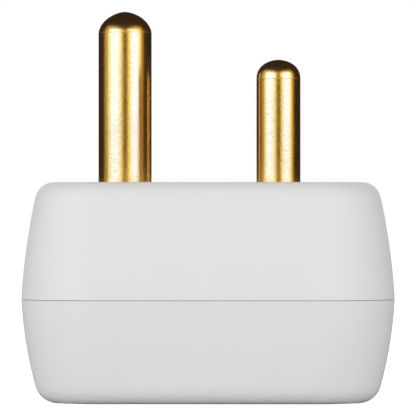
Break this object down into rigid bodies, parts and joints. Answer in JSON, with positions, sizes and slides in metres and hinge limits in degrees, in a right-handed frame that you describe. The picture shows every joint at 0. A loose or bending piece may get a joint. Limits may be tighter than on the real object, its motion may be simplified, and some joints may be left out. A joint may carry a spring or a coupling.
{
  "type": "switched triple adapter",
  "caption": "Block-shaped mains adapter: round-pin plug on the rear, three recessed outlets and a rocker switch on the front.",
  "frame": {"origin": "centre of the body's footprint on the front face, which holds the outlets and rests on the table", "axes": "+Z along the plug pins, out of the engagement face; +X from the earth pin towards the line pins; Y along the row of outlets"},
  "size_m": [0.059, 0.092, 0.0629],
  "materials": {
    "white_housing": "satin, very fine texture",
    "white_inner": "satin",
    "brass_pin": "polished, faintly mottled",
    "brass_strip": "rolled sheet",
    "barrier_sheet": "fibre sheet",
    "black_switch": "fine matt",
    "red_rocker": "gloss",
    "spring_steel": "bright wire",
    "plated_screw": "zinc plated"
  },
  "bodies": {
    "adapter": {"rear_shell": "white_housing", "front_shell": "white_housing", "socket_block_1": "white_inner", "socket_block_2": "white_inner", "socket_block_3": "white_inner", "earth_pin": "brass_pin", "live_pin": "brass_pin", "neutral_pin": "brass_pin", "live_bus": "brass_strip", "neutral_bus": "brass_strip", "earth_bus": "brass_strip", "earth_strap": "brass_strip", "neutral_strap": "brass_strip", "live_feed": "brass_strip", "insulating_barrier": "barrier_sheet", "switch_frame": "black_switch", "input_terminal": "brass_strip", "output_terminal": "brass_strip", "housing_screws": "plated_screw"},
    "rocker": {"rocker": "red_rocker", "plunger": "black_switch", "plunger_spring": "spring_steel"},
    "rocking_contact": {"rocking_contact": "brass_strip"}
  },
  "joints": [
    {"name": "rocker_tip", "type": "hinge", "parent": "adapter", "child": "rocker", "pos_m": [0, -0.0299, 0.0058], "axis": [0, 1, 0], "range_deg": [0, 20]},
    {"name": "contact_tip", "type": "hinge", "parent": "adapter", "child": "rocking_contact", "pos_m": [0, -0.0299, 0.01505], "axis": [0, 1, 0], "range_deg": [-12, 0]}
  ],
  "couplings": [
    {"joint": "contact_tip", "follows": "rocker_tip", "ratio": -0.6}
  ]
}
